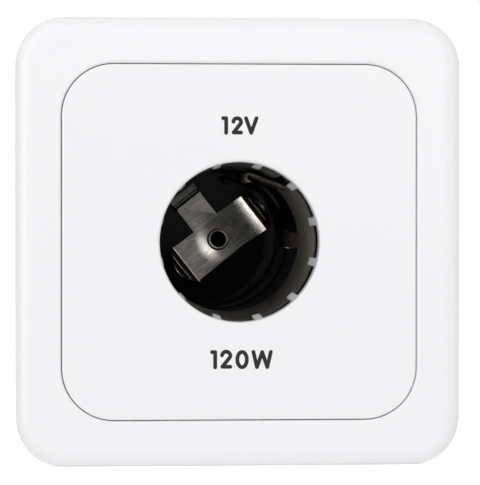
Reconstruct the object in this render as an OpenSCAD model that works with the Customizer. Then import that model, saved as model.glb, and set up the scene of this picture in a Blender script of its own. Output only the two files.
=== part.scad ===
// Flush-mounted 12 V power socket with a square cover frame.
// Everything is drawn lying on its back: the panel is the plane z = 0, the front faces +z and
// the barrel goes down through the panel. stand() then turns it upright, with the front to -Y.

/* [Cover frame] */
// Width of the frame's face beside the face plate
side_border = 6.02; // [5:0.02:8]
// Width of the frame's face above and below the face plate
end_border = 6.22; // [5:0.02:8]
// How far the front stands off the panel
frame_depth = 9; // [8.5:0.1:12]
// Radius of the frame's outside corners
frame_corner_r = 6.6; // [5:0.1:9]
// Rounding of the frame's front edge
frame_edge_r = 2.3; // [1:0.1:2.6]
// Rounding of the frame's edge along the seam
seam_edge_r = 0.7; // [0.3:0.1:1]
// Wall of the frame
frame_wall = 2; // [1.6:0.1:2.2]
// Thickness of the ledge that the face plate clamps
ledge_t = 1.4; // [1:0.1:1.6]
// How far the ledge reaches under the face plate
ledge_w = 1.5; // [1:0.1:2]

/* [Face plate] */
// How far the face plate reaches past the cup's flange
plate_margin = 7.5; // [7:0.1:9]
// Radius of the face plate's corners
plate_corner_r = 7; // [5:0.1:8]
// Thickness of the face plate
plate_t = 2.2; // [1.8:0.1:2.4]
// Rounding of the face plate's front edge
plate_edge_r = 0.4; // [0.2:0.1:0.8]
// Gap of the seam between plate and frame
seam_gap = 0.18; // [0.1:0.02:0.3]
// Wall of the skirt behind the face plate
skirt_wall = 1.4; // [1:0.1:1.6]
// Bore of the hole for the plug
hole_d = 21.64; // [21:0.02:22.4]
// Rounding of the hole's front edge
hole_edge_r = 0.5; // [0.2:0.05:0.7]
// Number of guide ribs round the hole
rib_count = 12; // [8:1:14]
// Width of each guide rib
rib_w = 1.15; // [0.9:0.05:1.3]
// How far a guide rib stands into the hole at its rear end
rib_stand = 0.45; // [0.3:0.05:0.5]
// Depth from the front at which the ribs start, flush with the wall
rib_start = 0.9; // [0.8:0.1:1.5]

/* [Mounting frame] */
// Thickness of the web that lies on the panel
web_t = 1.8; // [1.4:0.1:2]
// Walls and ribs of the mounting frame
carrier_wall = 1.6; // [1.2:0.1:1.8]
// Distance of the screw slots from the mounting frame's inner wall
screw_inset = 5; // [4.8:0.05:5.4]
// Width of a screw slot
screw_slot_d = 4; // [3:0.1:4.4]
// Extra length of a screw slot over its width
screw_slot_run = 2; // [1:0.1:2.4]

/* [Socket cup] */
// Wall of the cup beside the ground ring
cup_wall = 1.8; // [1.4:0.1:2.4]
// How far the cup's flange stands out
flange_w = 3.4; // [3:0.1:4]
// Thickness of the cup's flange
flange_t = 1.6; // [1.2:0.1:2]
// Thickness of the gasket under the flange
gasket_t = 0.8; // [0.5:0.1:1]
// Depth from the front to the cup's floor
floor_depth = 40.5; // [38:0.5:44]
// Thickness of the cup's floor
floor_t = 7.5; // [7:0.1:9]
// How far the rim stands behind the floor
rear_rim = 2; // [1:0.1:3]
// Depth from the front at which the pocket starts
ring_depth = 6.95; // [6.5:0.05:7.5]
// Distance between the ribs of the barrel's thread
thread_pitch = 3; // [2.4:0.1:3.2]
// Height of a thread rib
thread_h = 0.45; // [0.3:0.05:0.6]
// Number of grooves between thread ribs behind the nut
thread_grooves = 7; // [3:1:7]

/* [Ring nut] */
// How far the nut stands out from the barrel
nut_wall = 3.9; // [3.4:0.1:4.4]
// Height of the nut
nut_h = 6; // [4:0.1:8]
// Thickness of the lock washer
lock_washer_t = 0.8; // [0.5:0.1:1]
// Number of grip ribs on the nut
nut_grips = 18; // [12:1:24]

/* [Ground ring] */
// Thickness of the contact sheet
sheet_t = 0.4; // [0.3:0.05:0.5]
// How far the ground ring's front edge stands in from the hole
ring_step = 0.09; // [0.02:0.01:0.2]
// How far the ground ring narrows to its rear edge
ring_taper = 0.59; // [0.3:0.01:0.7]
// Length of the ground ring
ring_len = 15.7; // [12:0.1:17]
// Length of the spring tongue along the ring's axis
tongue_len = 8.3; // [6:0.1:9]
// Width of the leg that runs to the floor
leg_w = 2.2; // [1.8:0.1:2.6]

/* [Centre contact] */
// Width of the contact strip
strip_w = 6.2; // [5:0.1:6.6]
// Distance of the strip's ends from the cup's wall
strip_gap = 3.85; // [3.6:0.05:4.4]
// How far the strip's middle lies beside the rivet
strip_shift = 0.3; // [0:0.05:0.4]
// Slope of the strip's outer end, beside the arm
strip_slope = 7; // [3:1:10]
// Tilt of the strip from the horizontal
strip_angle = 38; // [30:1:45]
// Width of the strip's arm
arm_w = 4.6; // [3.5:0.1:5]
// Distance of the arm's end from the cup's wall
arm_gap = 2.96; // [2.8:0.02:3.2]
// Distance from the arm's end to the link
link_gap = 0.56; // [0.5:0.02:0.7]
// Lean of the clip fingers from the floor
finger_lean = 60; // [55:1:75]
// Bore of the hollow rivet
rivet_bore = 2.05; // [1.6:0.05:2.2]
// Diameter of the hollow rivet's head
rivet_head_d = 2.8; // [2.7:0.05:3.4]
// Length of the pin's stub that closes the rivet's rear end
rivet_stub = 2.5; // [1.5:0.1:4]

/* [Blade terminals] */
// Width of a blade
blade_w = 6.3; // [4.8:0.1:6.4]
// Thickness of a blade
blade_t = 0.8; // [0.5:0.1:1]
// Length of a blade behind its foot
blade_len = 9; // [7:0.5:12]
// Thread diameter of the terminal screws
tab_screw_d = 3; // [2.5:0.1:3]
// Distance of the terminal screws from the axis, as a share of the link's
tab_screw_share = 0.76; // [0.74:0.01:0.78]

/* [Hidden] */
$fn = 96;
e = 0.01;           // overshoot of a cutter through a face
seat_gap = 0.3;     // a piece that rests on another without touching
slide_gap = 0.2;    // a moulded piece that slides into another
snug_gap = 0.05;    // a pressed or threaded fit
white_body = "#F2F2F4";
white_plate = "#F1F1F3";
black_body = "#17171A";
nickel = "#C9C7C2";
zinc = "#B9BCC0";

// Diameters that follow from the hole
ring_front_d = hole_d - 2 * ring_step;
ring_rear_d = ring_front_d - 2 * ring_taper;
ring_slack = 0.17;  // room round the ground ring in its pocket
well_slack = 0.16;  // how far the well's wall stands back from the ring's bore
pocket_d = ring_front_d + 2 * (sheet_t + ring_slack);
well_d = ring_rear_d + 2 * well_slack;
barrel_d = pocket_d + 2 * cup_wall;
flange_d = barrel_d + 2 * flange_w;
nut_d = barrel_d + 2 * nut_wall;
plate_w = flange_d + 2 * plate_margin;

// Cover frame
open_size = plate_w + 2 * seam_gap;
frame_w = open_size + 2 * side_border;
frame_h = open_size + 2 * end_border;
open_corner_r = plate_corner_r + seam_gap;
ledge_open = open_size - 2 * ledge_w - 2 * seam_gap;
ledge_corner_r = open_corner_r - ledge_w - seam_gap;
plate_back = frame_depth - plate_t;
ledge_top = plate_back - 0.1;
ledge_floor = ledge_top - ledge_t;
ledge_outer = open_size + 2 * frame_wall;
frame_skin = frame_depth - frame_edge_r - 0.3;

// Face plate
skirt_size = ledge_open - 2 * slide_gap;
skirt_in = skirt_size - 2 * skirt_wall;
skirt_corner_r = ledge_corner_r - slide_gap;
skirt_foot = web_t + 0.4;
hook_w = 7;
hook_stand = 0.9;
hook_top = skirt_foot + 0.43 * (ledge_floor - seat_gap - skirt_foot);
rib_back = 0.6;     // how far a guide rib reaches back past the hole's wall
rib_end = frame_depth - ring_depth + 0.1;
collar_in_d = barrel_d + 2 * slide_gap;

// Mounting frame
carrier_in = skirt_size + 2 * slide_gap;
carrier_in_r = skirt_corner_r + slide_gap;
carrier_w = frame_w - 2 * frame_wall - 2 * seat_gap - 1.2;
carrier_h = frame_h - 2 * frame_wall - 2 * seat_gap - 1.2;
carrier_top = ledge_floor - seat_gap;
barrel_hole_d = barrel_d + 2 * slide_gap;
screw_pitch = carrier_in - 2 * screw_inset;
slot_land = 2;      // raised land round a screw slot
slot_land_t = 0.3;

// Socket cup
flange_z = web_t + gasket_t;
mouth_d = hole_d + 0.16;
mouth_z = plate_back - 0.05;
pocket_z = frame_depth - ring_depth;
ring_front_z = pocket_z - 0.1;
ring_rear_z = ring_front_z - ring_len;
well_z = ring_rear_z - 0.1;
floor_z = frame_depth - floor_depth;
floor_back = floor_z - floor_t;
barrel_end = floor_back - rear_rim;
rear_bore_d = barrel_d - 2.6;
key_w = 2;
rear_edge_r = 0.8;
thread_top = -lock_washer_t - nut_h - 1.2;

// Contacts
ring_front_r = ring_front_d / 2;
ring_rear_r = ring_rear_d / 2;
ring_open_from = 46;  // the ring's gap, as angles from +x
ring_open_to = 56;
tongue_run = 4.6;   // from the tongue's root to its curl, across and up
tongue_rise = 1.75;
leg_r = well_d / 2 - 0.15;
strip_z = floor_z + sheet_t;
strip_reach = well_d / 2 - strip_gap;
arm_reach = well_d / 2 - arm_gap;
finger_r = strip_w / 2;
rivet_d = rivet_bore + 0.5;
link_r = arm_reach + link_gap;
lug_len = 1;        // lug of the link over the cup's floor
foot_d = well_d / 4;  // ring round a terminal screw under the floor
rivet_washer_d = well_d / 4;
rivet_washer_t = sheet_t - 0.05;  // thinner than the feet, so that the blades pass over it
tab_screw_r = tab_screw_share * link_r;
link_angle = strip_angle + 90;
foot_z = floor_back - sheet_t;
tab_z = foot_z - blade_t;
tab_washer_t = 0.6;
tab_washer_d = 2 * tab_screw_d;
tail_l = 1.6;       // the arm's end, turned down into the slot
tab_screw_l = floor_t - tail_l - 0.7;
tab_head_d = 1.85 * tab_screw_d;
tab_head_h = 0.62 * tab_screw_d;
ground_angle = 0;

// General shapes

module stand() {
  rotate([90, 0, 0]) children();
}

// Rounded rectangle, centred.
module rrect(w, h, r) {
  square([w - 2 * r, h], center = true);
  square([w, h - 2 * r], center = true);
  for (sx = [-1, 1], sy = [-1, 1]) {
    translate([sx * (w / 2 - r), sy * (h / 2 - r)]) circle(r);
  }
}

// Slab of a rounded rectangle between two heights.
module slab(w, h, r, z0, z1) {
  translate([0, 0, z0]) linear_extrude(z1 - z0) rrect(w, h, r);
}

// Disc between two heights.
module disc(d, z0, z1) {
  translate([0, 0, z0]) cylinder(d = d, h = z1 - z0);
}

// Carries a profile (x outwards from the corner's centre, y up) round a rounded rectangle.
module carry_round(w, h, r) {
  for (i = [0:3]) {
    sx = (i == 0 || i == 3) ? 1 : -1;
    sy = (i < 2) ? 1 : -1;
    translate([sx * (w / 2 - r), sy * (h / 2 - r), 0])
      rotate([0, 0, 90 * i]) rotate_extrude(angle = 90) children();
  }
  for (side = [0, 180]) {
    rotate([0, 0, side]) translate([w / 2 - r, h / 2 - r, 0])
      rotate([90, 0, 0]) linear_extrude(h - 2 * r) children();
    rotate([0, 0, side + 90]) translate([h / 2 - r, w / 2 - r, 0])
      rotate([90, 0, 0]) linear_extrude(w - 2 * r) children();
  }
}

// What a round takes off an outside edge whose corner lies at (x, y).
module outer_round_profile(x, y, r) {
  difference() {
    translate([x - r, y - r]) square([r + 1, r + 1]);
    translate([x - r, y - r]) circle(r);
  }
}

// What a round takes off an inside edge whose corner lies at (x, y).
module inner_round_profile(x, y, r) {
  difference() {
    translate([x - 1, y - r]) square([r + 1, r + 1]);
    translate([x + r, y - r]) circle(r);
  }
}

// Places its children at the four mid-sides of a square of half width d.
module at_sides(d) {
  for (a = [0, 90, 180, 270]) {
    rotate([0, 0, a]) translate([d, 0, 0]) children();
  }
}

// Places its children at the screw slots, turned to run towards the centre.
module at_slots() {
  for (a = [45, 135, 225, 315]) {
    rotate([0, 0, a]) translate([screw_pitch / sqrt(2), 0, 0]) rotate([0, 0, -a]) children();
  }
}

// Cover frame

module frame_ribs() {
  rib_l = (frame_w - 2 * frame_wall - carrier_w) / 2 - slide_gap;
  rib_m = (frame_h - 2 * frame_wall - carrier_h) / 2 - slide_gap;
  rib_at = frame_w / 4;
  for (s = [-1, 1], t = [-rib_at, rib_at]) {
    translate([s * (frame_w / 2 - frame_wall - rib_l / 2 + 0.25), t, frame_skin / 2 + 0.5])
      cube([rib_l + 0.5, 1.2, frame_skin - 1], center = true);
    translate([t, s * (frame_h / 2 - frame_wall - rib_m / 2 + 0.25), frame_skin / 2 + 0.5])
      cube([1.2, rib_m + 0.5, frame_skin - 1], center = true);
  }
}

module cover_frame() {
  color(white_body) stand() {
    difference() {
      union() {
        difference() {
          slab(frame_w, frame_h, frame_corner_r, 0, frame_depth);
          slab(frame_w - 2 * frame_wall, frame_h - 2 * frame_wall, frame_corner_r - frame_wall,
            -1, frame_skin);
        }
        slab(ledge_outer, ledge_outer, open_corner_r + frame_wall, ledge_floor, frame_skin + 0.5);
        frame_ribs();
      }
      slab(open_size, open_size, open_corner_r, ledge_top, frame_depth + 1);
      slab(ledge_open, ledge_open, ledge_corner_r, ledge_floor - 1, frame_depth);
      carry_round(frame_w, frame_h, frame_corner_r)
        outer_round_profile(frame_corner_r, frame_depth, frame_edge_r);
      carry_round(open_size, open_size, open_corner_r)
        inner_round_profile(open_corner_r, frame_depth, seam_edge_r);
    }
  }
}

// Face plate

// Snap hook on the skirt: its barb catches under the window in the mounting frame.
module snap_hook() {
  translate([0, hook_w / 2, 0]) rotate([90, 0, 0]) linear_extrude(hook_w)
    polygon([
      [-skirt_wall, skirt_foot], [0, skirt_foot], [hook_stand, (hook_top + skirt_foot) / 2],
      [hook_stand, hook_top], [0, hook_top + 0.3], [-skirt_wall, hook_top + 0.3]
    ]);
}

// Wedges that rise from the hole's wall towards the rear, so that a plug centres itself.
module guide_ribs() {
  top_z = frame_depth - rib_start;
  for (i = [0:rib_count - 1]) {
    rotate([0, 0, (i + 0.5) * 360 / rib_count]) translate([0, rib_w / 2, 0])
      rotate([90, 0, 0]) linear_extrude(rib_w) polygon([
        [hole_d / 2 - rib_stand, rib_end], [hole_d / 2 + 0.05, top_z],
        [hole_d / 2 + rib_back, top_z], [hole_d / 2 + rib_back, rib_end]
      ]);
  }
}

module face_plate() {
  color(white_plate) stand() {
    difference() {
      union() {
        slab(plate_w, plate_w, plate_corner_r, plate_back, frame_depth);
        difference() {
          slab(skirt_size, skirt_size, skirt_corner_r, skirt_foot, plate_back + 0.5);
          slab(skirt_in, skirt_in, skirt_corner_r - skirt_wall, skirt_foot - 1, plate_back);
        }
        disc(collar_in_d + 2 * skirt_wall, plate_back - 1.6, plate_back + 0.5);
        for (a = [0:45:135]) {
          rotate([0, 0, a]) translate([0, 0, plate_back - 0.5])
            cube([skirt_in + 1, 1, 1.2], center = true);
        }
        at_sides(skirt_size / 2) snap_hook();
      }
      disc(hole_d, plate_back - 2 * plate_t, frame_depth + 1);
      disc(collar_in_d, plate_back - 2 * plate_t, plate_back);
      rotate_extrude() inner_round_profile(hole_d / 2, frame_depth, hole_edge_r);
      carry_round(plate_w, plate_w, plate_corner_r)
        outer_round_profile(plate_corner_r, frame_depth, plate_edge_r);
    }
    guide_ribs();
  }
}

// Mounting frame

module carrier_walls() {
  difference() {
    slab(carrier_w, carrier_h, frame_corner_r - frame_wall, 0, carrier_top);
    slab(carrier_w - 2 * carrier_wall, carrier_h - 2 * carrier_wall,
      frame_corner_r - frame_wall - carrier_wall, web_t, carrier_top + 1);
  }
  difference() {
    slab(carrier_in + 2 * carrier_wall, carrier_in + 2 * carrier_wall,
      carrier_in_r + carrier_wall, 0, carrier_top);
    slab(carrier_in, carrier_in, carrier_in_r, web_t, carrier_top + 1);
  }
  for (i = [-2:2]) {
    t = i * carrier_in / 5;
    translate([0, t, carrier_top / 2 - 0.2]) cube([carrier_w - 1, 1, carrier_top - 0.4], center = true);
    translate([t, 0, carrier_top / 2 - 0.2]) cube([1, carrier_h - 1, carrier_top - 0.4], center = true);
  }
}

// Slot that runs along x, open right through the web.
module screw_slot() {
  for (s = [-1, 1]) {
    translate([s * screw_slot_run / 2, 0, 0]) disc(screw_slot_d, -1, web_t + 2);
  }
  translate([-screw_slot_run / 2, -screw_slot_d / 2, -1])
    cube([screw_slot_run, screw_slot_d, web_t + 3]);
}

module mounting_frame() {
  color(white_body) stand() {
    difference() {
      union() {
        difference() {
          carrier_walls();
          slab(carrier_in, carrier_in, carrier_in_r, web_t, carrier_top + 1);
        }
        at_slots() disc(screw_slot_d + 2 * slot_land, 0, web_t + slot_land_t);
      }
      disc(barrel_hole_d, -1, web_t + 1);
      translate([0, barrel_hole_d / 2, web_t / 2])
        cube([key_w + 2 * slide_gap, 2, web_t + 1], center = true);
      at_slots() screw_slot();
      at_sides(carrier_in / 2 + carrier_wall / 2)
        translate([0, 0, (skirt_foot + hook_top) / 2 + 0.1])
          cube([carrier_wall + 1, hook_w + 1, hook_top - skirt_foot + 0.6], center = true);
    }
  }
}

// Socket cup

module cup_bores() {
  disc(mouth_d, pocket_z - 1, mouth_z + 1);
  disc(pocket_d, well_z, pocket_z);
  disc(well_d, floor_z, well_z + e);
  disc(rear_bore_d, barrel_end - 1, floor_back);
  for (i = [0:rib_count - 1]) {
    rotate([0, 0, (i + 0.5) * 360 / rib_count])
      translate([hole_d / 2 - 1, -rib_w / 2 - snug_gap, rib_end - 0.2])
        cube([1 + rib_back + snug_gap, rib_w + 2 * snug_gap, mouth_z - rib_end + 1]);
  }
}

// Slot through the floor, its long side across the direction of the angle.
module floor_slot(angle, r, width, thick) {
  rotate([0, 0, angle]) translate([r, 0, floor_back + floor_t / 2])
    cube([thick, width, floor_t + 2], center = true);
}

// Grooves that leave the ribs of the thread standing, as plain rings without a lead.
module thread_cuts() {
  for (i = [0:thread_grooves - 1]) {
    translate([0, thread_top - (i + 0.5) * thread_pitch]) polygon([
      [barrel_d / 2 - thread_h, -0.2 * thread_pitch], [barrel_d / 2 + 0.2, -0.4 * thread_pitch],
      [barrel_d / 2 + 0.2, 0.4 * thread_pitch], [barrel_d / 2 - thread_h, 0.2 * thread_pitch]
    ]);
  }
}

module socket_cup() {
  color(black_body) stand() {
    difference() {
      union() {
        disc(barrel_d, barrel_end, mouth_z);
        disc(flange_d, flange_z, flange_z + flange_t);
        translate([0, barrel_d / 2 + 0.3, (flange_z + web_t / 2) / 2])
          cube([key_w, 1.2, flange_z + flange_t - web_t / 2], center = true);
      }
      cup_bores();
      disc(rivet_d + 2 * snug_gap, floor_back - 1, floor_z + 1);
      floor_slot(ground_angle, leg_r - sheet_t / 2, leg_w + 0.4, sheet_t + 0.1);
      rotate([0, 0, ground_angle]) translate([well_d / 2, 0, well_z - 1])
        cube([1.2, leg_w + 0.4, 2.2], center = true);
      floor_slot(link_angle, (arm_reach + link_r) / 2, arm_w + 0.4, link_r - arm_reach + 2 * sheet_t + 0.1);
      for (a = [ground_angle, link_angle]) {
        rotate([0, 0, a]) translate([tab_screw_r, 0, floor_back - 1])
          cylinder(d = tab_screw_d + 2 * snug_gap, h = tab_screw_l + 1.1, $fn = 32);
      }
      rotate_extrude() thread_cuts();
      mirror([0, 0, 1]) rotate_extrude() outer_round_profile(barrel_d / 2, -barrel_end, rear_edge_r);
    }
  }
}

module flange_gasket() {
  color("#2B2B2D") stand() {
    difference() {
      disc(flange_d - 0.6, web_t, flange_z);
      disc(barrel_hole_d, web_t - 1, flange_z + 1);
      translate([0, barrel_hole_d / 2, web_t + gasket_t / 2])
        cube([key_w + 2 * slide_gap, 2, gasket_t + 1], center = true);
    }
  }
}

// Internal-tooth lock washer.
module cup_washer() {
  color(zinc) stand() {
    difference() {
      disc(nut_d - 1.4, -lock_washer_t, 0);
      disc(barrel_hole_d + 1.6, -lock_washer_t - 1, 1);
    }
    for (i = [0:15]) {
      rotate([0, 0, i * 22.5]) translate([barrel_d / 2 + slide_gap, -1, -lock_washer_t])
        cube([1.2, 2, lock_washer_t]);
    }
  }
}

module cup_nut() {
  color(black_body) stand() {
    difference() {
      union() {
        disc(nut_d - 2, -lock_washer_t - nut_h, -lock_washer_t);
        disc(nut_d, -lock_washer_t - 1.4, -lock_washer_t);
        for (i = [0:nut_grips - 1]) {
          rotate([0, 0, (i + 0.5) * 360 / nut_grips])
            translate([nut_d / 2 - 2, -0.8, -lock_washer_t - nut_h])
              cube([1.4, 1.6, nut_h - 0.7]);
        }
      }
      disc(barrel_d + 2 * snug_gap, -lock_washer_t - nut_h - 1, 1);
    }
  }
}

// Ground ring

// Section of the sprung ring: a flared front lip, a taper and a lip turned in at the rear.
module ring_section() {
  lip = 0.12;
  polygon([
    [ring_front_r + lip, ring_front_z], [ring_front_r, ring_front_z - 0.5],
    [ring_rear_r + lip, ring_rear_z + 0.5], [ring_rear_r, ring_rear_z],
    [ring_rear_r + sheet_t, ring_rear_z], [ring_rear_r + lip + sheet_t, ring_rear_z + 0.5],
    [ring_front_r + sheet_t, ring_front_z - 0.5], [ring_front_r + lip + sheet_t - 0.1, ring_front_z]
  ]);
}

// The tongue is a flat chord from the ring's end, with its free end rolled into a curl.
module ring_tongue() {
  root_r = ring_rear_r + 0.4;
  root = [root_r * cos(ring_open_from), root_r * sin(ring_open_from)];
  tip = [root[0] - tongue_run, root[1] + tongue_rise];
  run = norm(tip - root);
  slope = atan2(tip[1] - root[1], tip[0] - root[0]);
  curl_r = 0.7;
  translate([0, 0, ring_rear_z]) {
    translate([root[0], root[1], 0]) rotate([0, 0, slope])
      translate([-0.35, -sheet_t / 2, 0]) cube([run + 0.35, sheet_t, tongue_len]);
    translate([tip[0], tip[1], 0]) rotate([0, 0, slope]) translate([0, curl_r - sheet_t / 2, 0])
      difference() {
        cylinder(r = curl_r, h = tongue_len, $fn = 32);
        translate([0, 0, -1]) cylinder(r = curl_r - sheet_t, h = tongue_len + 2, $fn = 32);
        translate([-2, -0.35, -1]) cube([2, 0.7, tongue_len + 2]);
      }
  }
}

// Leg down the wall, through the floor and folded inwards to a foot under the blade's screw.
module ring_leg() {
  rotate([0, 0, ground_angle]) {
    translate([0, leg_w / 2, 0]) rotate([90, 0, 0]) linear_extrude(leg_w)
      polygon([
        [ring_rear_r + 0.05, ring_rear_z + 0.3], [ring_rear_r + sheet_t - 0.05, ring_rear_z + 0.3],
        [leg_r, ring_rear_z - 1.8], [leg_r, foot_z], [leg_r - sheet_t, foot_z],
        [leg_r - sheet_t, ring_rear_z - 1.8]
      ]);
    contact_foot(leg_r, leg_w);
  }
}

// Foot of a contact under the floor, with the hole for its screw.
module contact_foot(from_r, width) {
  difference() {
    union() {
      translate([tab_screw_r, -width / 2, foot_z]) cube([from_r - tab_screw_r, width, sheet_t]);
      translate([tab_screw_r, 0, foot_z]) cylinder(d = foot_d, h = sheet_t, $fn = 48);
    }
    translate([tab_screw_r, 0, foot_z - 1])
      cylinder(d = tab_screw_d + 0.3, h = sheet_t + 2, $fn = 32);
  }
}

module ground_ring() {
  color(nickel) stand() {
    rotate([0, 0, ring_open_to]) rotate_extrude(angle = 360 - ring_open_to + ring_open_from)
      ring_section();
    ring_tongue();
    ring_leg();
  }
}

// Centre contact

// Half-disc clip finger with a crescent window, bent up at the strip's end.
module clip_finger(reach) {
  translate([reach - e, 0, floor_z + sheet_t]) rotate([0, -finger_lean, 0])
    translate([0, 0, -sheet_t]) difference() {
      intersection() {
        cylinder(r = finger_r, h = sheet_t, $fn = 64);
        translate([0, -finger_r, 0]) cube([finger_r, 2 * finger_r, sheet_t]);
      }
      translate([0, 0, -1]) difference() {
        cylinder(r = finger_r - 0.62, h = sheet_t + 2, $fn = 64);
        translate([-finger_r + finger_r * 0.42, -finger_r, -1])
          cube([finger_r, 2 * finger_r, sheet_t + 4]);
      }
    }
}

// Slopes its children upwards from the side of the arm on.
module strip_end() {
  translate([arm_w / 2, 0, floor_z]) rotate([0, -strip_slope, 0])
    translate([-arm_w / 2, 0, -floor_z]) children();
}

module center_contact() {
  color(nickel) stand() rotate([0, 0, strip_angle]) {
    difference() {
      union() {
        translate([strip_shift - strip_reach, -strip_w / 2, floor_z])
          cube([strip_reach - strip_shift + arm_w / 2, strip_w, sheet_t]);
        strip_end() translate([arm_w / 2, -strip_w / 2, floor_z])
          cube([strip_reach + strip_shift - arm_w / 2, strip_w, sheet_t]);
        translate([-arm_w / 2, 0, floor_z]) cube([arm_w, arm_reach, sheet_t]);
        translate([-arm_w / 2, arm_reach - sheet_t, floor_z - tail_l]) cube([arm_w, sheet_t, tail_l + e]);
        translate([-arm_w / 2, arm_reach - sheet_t, floor_z - tail_l])
          cube([arm_w, link_r - snug_gap - arm_reach + sheet_t, sheet_t]);
      }
      disc(rivet_d + 2 * snug_gap, floor_z - 1, floor_z + 2);
    }
    strip_end() clip_finger(strip_reach + strip_shift);
    rotate([0, 0, 180]) clip_finger(strip_reach - strip_shift);
  }
}

// Blind rivet: rounded head and open bore in front, the stub of its pin in the rear end.
module center_rivet() {
  rear_z = floor_back - rivet_washer_t;
  color(nickel) stand() rotate_extrude() {
    difference() {
      union() {
        translate([0, rear_z]) square([rivet_d / 2, strip_z - rear_z]);
        translate([0, strip_z]) square([rivet_head_d / 2 - 0.2, 0.4]);
        translate([0, strip_z]) square([rivet_head_d / 2, 0.2]);
        translate([rivet_head_d / 2 - 0.2, strip_z + 0.2]) circle(0.2, $fn = 24);
        translate([0, rear_z - 0.4]) square([rivet_d / 2 + 0.35, 0.4]);
      }
      translate([-1, rear_z - 0.4 + rivet_stub])
        square([1 + rivet_bore / 2, strip_z - rear_z + 3]);
    }
  }
}

module center_washer() {
  color(zinc) stand() difference() {
    disc(rivet_washer_d, floor_back - rivet_washer_t, floor_back);
    disc(rivet_d + 2 * snug_gap, floor_back - 1, floor_back + 1);
  }
}

// Link from the arm's end through the floor, with a lug folded over the floor.
module center_link() {
  color(nickel) stand() rotate([0, 0, link_angle]) {
    translate([link_r, -arm_w / 2, foot_z]) cube([sheet_t, arm_w, strip_z - foot_z]);
    translate([link_r, -arm_w / 2, floor_z]) cube([lug_len, arm_w, sheet_t]);
    contact_foot(link_r + sheet_t, arm_w);
  }
}

// Blade terminals

module blade_tab(angle) {
  blade_r = tab_screw_r + blade_w / 2;
  chamfer = blade_w / 5;
  rotate([0, 0, angle]) difference() {
    union() {
      translate([tab_screw_r, -blade_w / 2, tab_z]) cube([blade_w / 2 + blade_t, blade_w, blade_t]);
      translate([tab_screw_r, 0, tab_z]) cylinder(d = blade_w, h = blade_t, $fn = 48);
      translate([blade_r, 0, tab_z]) rotate([90, 0, 90]) linear_extrude(blade_t)
        polygon([
          [-blade_w / 2, e], [blade_w / 2, e], [blade_w / 2, chamfer - blade_len],
          [blade_w / 2 - chamfer, -blade_len], [chamfer - blade_w / 2, -blade_len],
          [-blade_w / 2, chamfer - blade_len]
        ]);
    }
    translate([tab_screw_r, 0, tab_z - 1]) cylinder(d = tab_screw_d + 0.3, h = blade_t + 2, $fn = 32);
    translate([blade_r - 1, 0, tab_z - blade_len * 0.6]) rotate([0, 90, 0])
      cylinder(d = 1.6, h = blade_t + 2, $fn = 24);
  }
}

module ground_tab() {
  color(nickel) stand() blade_tab(ground_angle);
}

module center_tab() {
  color(nickel) stand() blade_tab(link_angle);
}

module tab_screws() {
  color(zinc) stand() for (a = [ground_angle, link_angle]) {
    rotate([0, 0, a]) translate([tab_screw_r, 0, tab_z - tab_washer_t]) difference() {
      union() {
        cylinder(d = tab_screw_d, h = tab_washer_t + blade_t + sheet_t + tab_screw_l, $fn = 32);
        translate([0, 0, -tab_head_h]) cylinder(d = tab_head_d, h = tab_head_h, $fn = 48);
      }
      translate([-tab_head_d, -0.4, -tab_head_h - 1]) cube([2 * tab_head_d, 0.8, 1.9]);
    }
  }
}

module tab_washers() {
  color(zinc) stand() for (a = [ground_angle, link_angle]) {
    rotate([0, 0, a]) translate([tab_screw_r, 0, tab_z - tab_washer_t]) difference() {
      cylinder(d = tab_washer_d, h = tab_washer_t, $fn = 48);
      translate([0, 0, -1]) cylinder(d = tab_screw_d + 0.3, h = tab_washer_t + 2, $fn = 32);
    }
  }
}

cover_frame();
face_plate();
mounting_frame();
socket_cup();
flange_gasket();
cup_washer();
cup_nut();
ground_ring();
ground_tab();
center_contact();
center_rivet();
center_washer();
center_link();
center_tab();
tab_screws();
tab_washers();
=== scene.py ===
"""Visual model of a flush-mounted 12 V power socket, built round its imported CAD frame.

Every piece is drawn lying on its back in millimetres, with the numbers of the part's source: the
panel is z = 0, the front faces +z and the barrel goes down. put() stands it up, front to -Y.
"""

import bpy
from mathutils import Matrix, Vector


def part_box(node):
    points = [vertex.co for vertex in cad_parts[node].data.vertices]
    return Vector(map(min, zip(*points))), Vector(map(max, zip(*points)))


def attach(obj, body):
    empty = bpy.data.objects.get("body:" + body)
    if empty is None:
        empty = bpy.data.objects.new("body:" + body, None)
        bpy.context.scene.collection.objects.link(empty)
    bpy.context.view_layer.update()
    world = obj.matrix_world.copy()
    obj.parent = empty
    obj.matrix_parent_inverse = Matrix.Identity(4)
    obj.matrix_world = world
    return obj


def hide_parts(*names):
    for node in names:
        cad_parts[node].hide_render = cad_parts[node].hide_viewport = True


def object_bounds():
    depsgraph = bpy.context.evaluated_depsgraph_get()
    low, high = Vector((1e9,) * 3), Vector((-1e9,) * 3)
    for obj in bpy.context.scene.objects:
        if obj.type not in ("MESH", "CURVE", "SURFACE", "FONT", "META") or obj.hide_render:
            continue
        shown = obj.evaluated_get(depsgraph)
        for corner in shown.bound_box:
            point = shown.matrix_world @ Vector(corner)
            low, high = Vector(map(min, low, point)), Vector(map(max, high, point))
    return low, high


bl_info = {
    "name": "Panel Power Socket",
    "version": (1, 0, 0),
    "blender": (4, 5, 0),
    "location": "3D View > Sidebar > Socket",
    "description": "Dresses the packed 12 V panel socket with mouldings, contacts and terminals",
    "category": "Object",
}

import math

import bmesh
import bpy
from bpy.props import FloatProperty, FloatVectorProperty, IntProperty, PointerProperty
from mathutils import Matrix, Vector

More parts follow.
